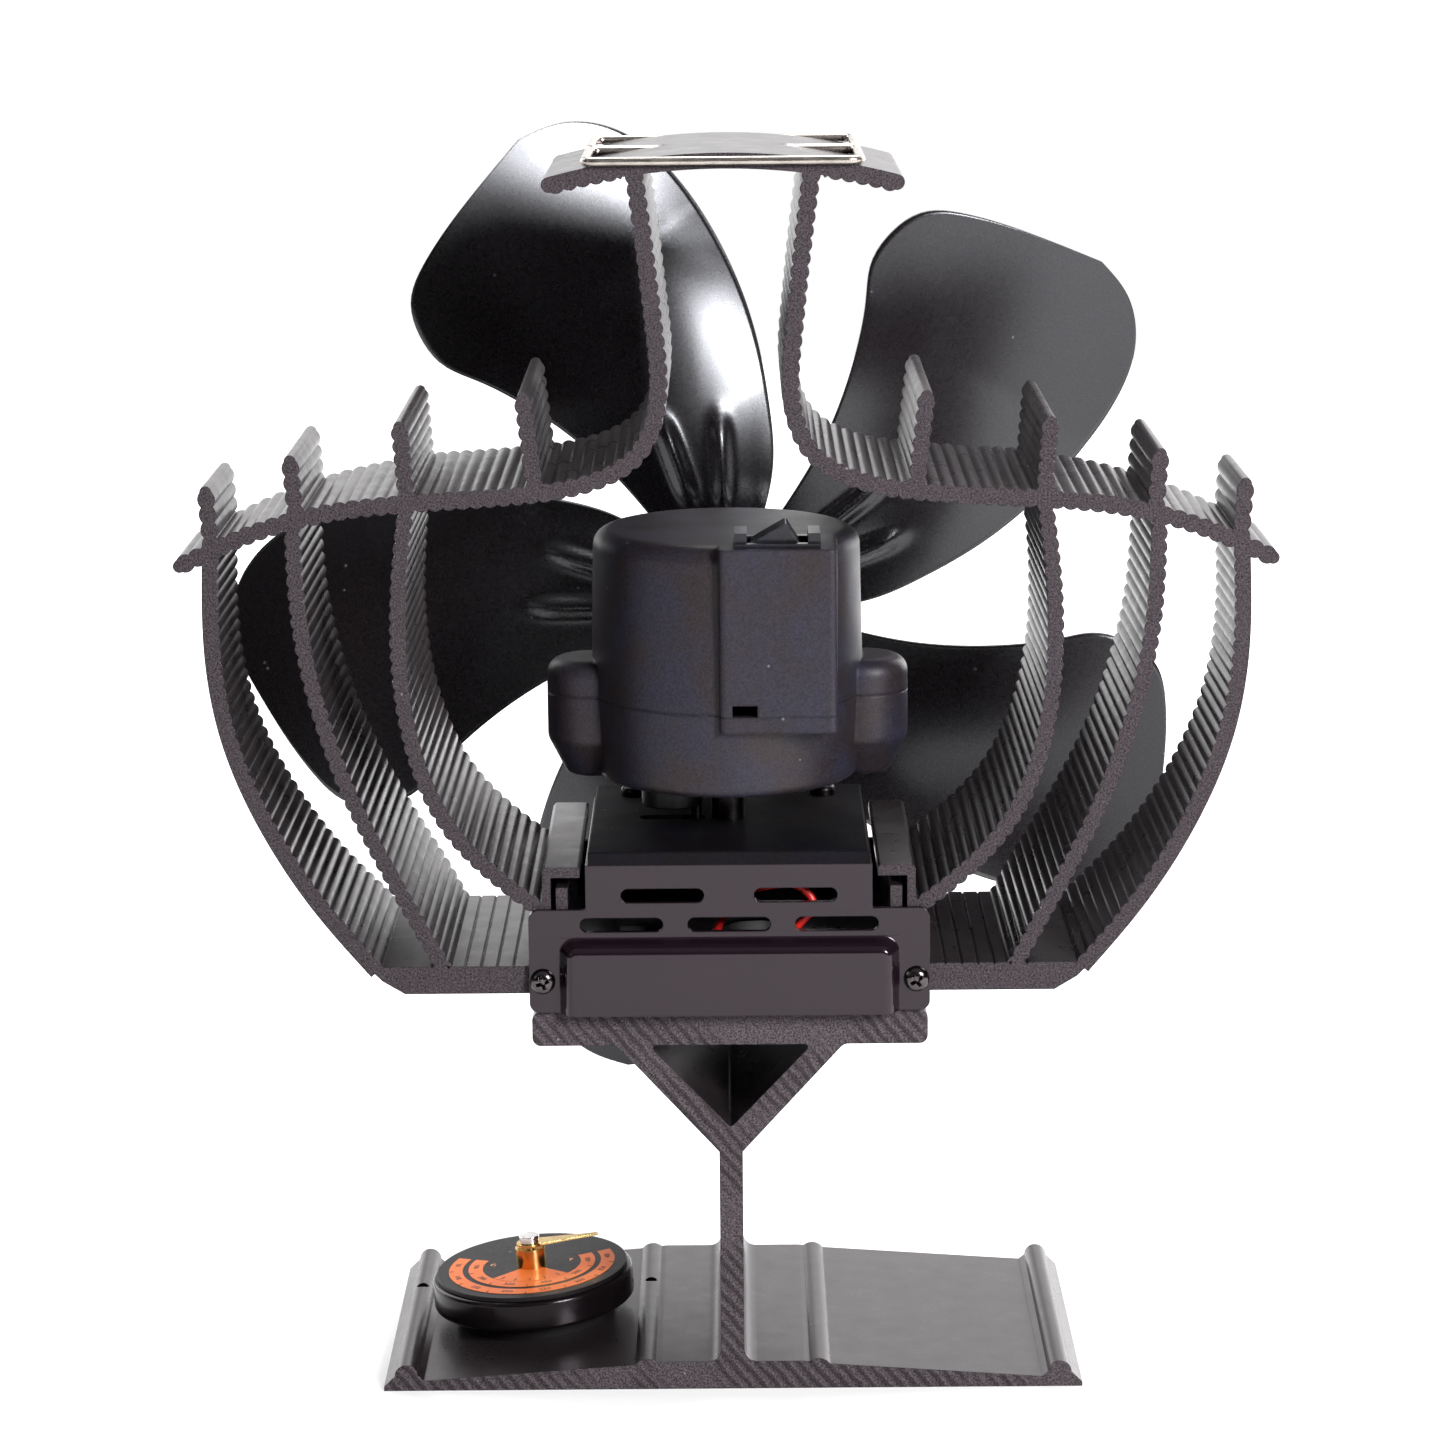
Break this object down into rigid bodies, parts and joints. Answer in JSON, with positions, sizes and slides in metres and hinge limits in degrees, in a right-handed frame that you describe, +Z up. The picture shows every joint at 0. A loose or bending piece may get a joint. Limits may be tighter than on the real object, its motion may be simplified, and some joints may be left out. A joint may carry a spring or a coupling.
{
  "type": "stove fan",
  "caption": "Heat-powered stove fan with ribbed radiator, swinging motor head, bladed rotor, rocker switch, magnetic thermometer and wire carrying bails.",
  "frame": {"origin": "centre of the stand's underside, on the surface that it stands on", "axes": "+Z up, +Y the way the fan blows, +X to the right when seen from behind the radiator"},
  "size_m": [0.1942, 0.1019, 0.2233],
  "materials": {
    "black_anodised": "black anodised aluminium, satin",
    "blade_black": "black anodised sheet, glossy",
    "bracket_black": "black powder coat, glossy",
    "bright_steel": "bright zinc-plated steel",
    "housing_black": "moulded black nylon, matt",
    "switch_black": "moulded black plastic, glossy",
    "ceramic_white": "ceramic plates with a dark filling",
    "heat_pad": "grey heat-conducting pad",
    "insulation": "mica board",
    "motor_steel": "nickel-plated steel can",
    "brass": "turned brass",
    "bearing_bronze": "sintered bronze",
    "gauge_black": "black enamel",
    "dial_print": "black dial with a printed scale",
    "gauge_silver": "satin silver",
    "magnet_dark": "ferrite magnet",
    "lead_red": "red silicone insulation",
    "lead_black": "black silicone insulation",
    "white_nylon": "white nylon"
  },
  "bodies": {
    "stand": {"stand_heat_collector": "black_anodised", "hot_side_pad": "heat_pad", "thermoelectric_module": "ceramic_white", "cold_side_pad": "heat_pad", "insulation_frame": "insulation", "radiator": "black_anodised", "clamp_washers": "insulation", "clamp_screws": "bright_steel", "electronics_cover": "bracket_black", "cover_screws": "bright_steel", "swivel_platform": "bracket_black", "platform_screws": "bright_steel", "swivel_post": "bright_steel", "post_nut": "bright_steel", "thrust_washer": "white_nylon", "post_circlip": "bright_steel", "gauge_magnet": "magnet_dark", "gauge_case": "gauge_black", "gauge_dial": "dial_print", "gauge_tube": "brass", "bimetal_coil": "bright_steel", "lead_terminal": "white_nylon", "red_lead": "lead_red", "black_lead": "lead_black"},
    "head": {"swivel_bush": "bearing_bronze", "swing_gearbox": "white_nylon", "swing_motor": "motor_steel", "lower_housing": "housing_black", "upper_housing": "housing_black", "housing_screws": "bright_steel", "motor_sleeve": "housing_black", "fan_motor": "motor_steel", "motor_end_cap": "white_nylon", "front_bearing": "bearing_bronze", "switch_body": "switch_black"},
    "crank": {"swing_crank": "white_nylon", "crank_pin": "bright_steel"},
    "rotor": {"fan_shaft": "bright_steel", "fan_hub": "housing_black", "hub_cap": "housing_black", "blade_spider": "blade_black"},
    "rocker": {"switch_rocker": "switch_black"},
    "gauge_needle": {"gauge_pointer": "brass", "pointer_spindle": "gauge_silver"},
    "rear_bail": {"rear_bail": "bright_steel"},
    "front_bail": {"front_bail": "bright_steel"}
  },
  "joints": [
    {"name": "head_swing", "type": "hinge", "parent": "stand", "child": "head", "pos_m": [0, -0.0065, 0.108], "axis": [0, 0, 1], "range_deg": [-25, 25]},
    {"name": "crank_turn", "type": "hinge", "parent": "head", "child": "crank", "pos_m": [-0.0102, -0.0065, 0.105], "axis": [0, 0, 1], "range_deg": [-50, 50]},
    {"name": "fan_spin", "type": "hinge", "parent": "head", "child": "rotor", "pos_m": [0, 0.051, 0.1302], "axis": [0, 1, 0], "continuous": true},
    {"name": "switch_tilt", "type": "hinge", "parent": "head", "child": "rocker", "pos_m": [0.009, -0.0257, 0.1525], "axis": [0, 1, 0], "range_deg": [-28, 0]},
    {"name": "gauge_turn", "type": "hinge", "parent": "stand", "child": "gauge_needle", "pos_m": [-0.0372, 0, 0.00325], "axis": [-0.0709, 0, 0.9975], "range_deg": [-216, 11]},
    {"name": "rear_bail_lift", "type": "hinge", "parent": "stand", "child": "rear_bail", "pos_m": [0, -0.0079, 0.22195], "axis": [-1, 0, 0], "range_deg": [0, 90]},
    {"name": "front_bail_lift", "type": "hinge", "parent": "stand", "child": "front_bail", "pos_m": [0, -0.0051, 0.22195], "axis": [1, 0, 0], "range_deg": [0, 90]}
  ],
  "couplings": [
    {"joint": "crank_turn", "follows": "head_swing", "ratio": 2}
  ]
}
